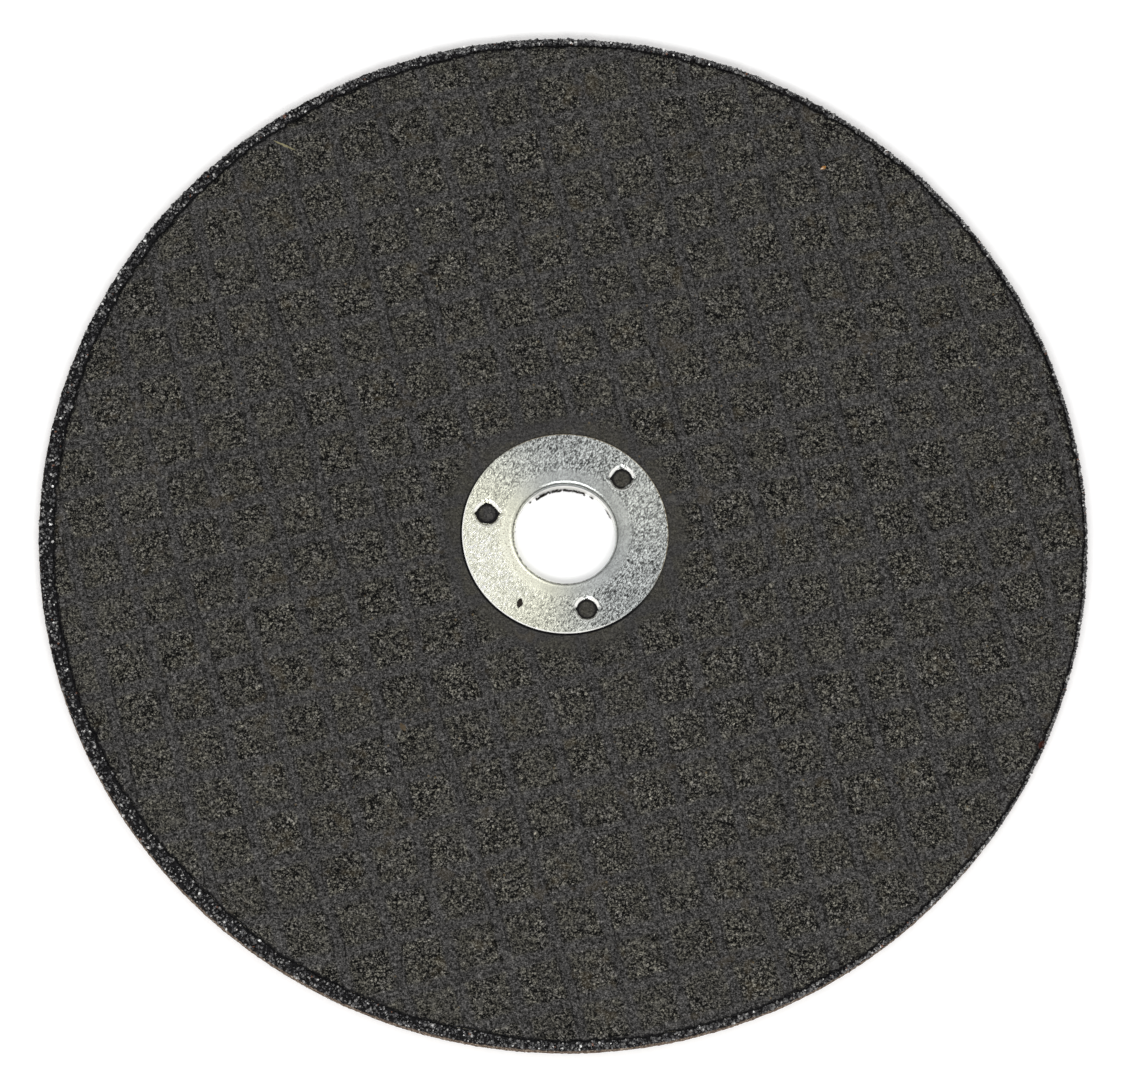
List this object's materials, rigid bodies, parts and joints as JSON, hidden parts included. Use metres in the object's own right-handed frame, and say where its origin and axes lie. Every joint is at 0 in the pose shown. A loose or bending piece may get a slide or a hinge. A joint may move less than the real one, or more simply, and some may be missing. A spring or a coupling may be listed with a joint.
{
  "type": "abrasive cutting wheel",
  "caption": "Flat reinforced abrasive cutting wheel for a large angle grinder, with a plain round bore lined by a pressed steel centre ring.",
  "frame": {"origin": "on the bore's axis, in the plane of the front face, which is the outer face of the paper label", "axes": "+Z along the bore from the front face to the back face, which carries the steel ring; +X and +Y lie in the wheel's plane"},
  "size_m": [0.23, 0.23, 0.004],
  "materials": {
    "ring_steel": "zinc plated, bright, orange-peel texture",
    "fleece": "black non-woven fleece soaked with resin, matt",
    "glass_yarn": "resin-coated glass yarn, satin",
    "abrasive": "dark resin-bonded aluminium oxide grain, rough with glints",
    "label_paper": "plain matt paper"
  },
  "bodies": {
    "root": {"centre_ring": "ring_steel", "back_fleece": "fleece", "back_glass_net": "glass_yarn", "back_abrasive_layer": "abrasive", "hub_glass_net": "glass_yarn", "front_abrasive_layer": "abrasive", "front_glass_net": "glass_yarn", "paper_label": "label_paper"}
  },
  "joints": []
}
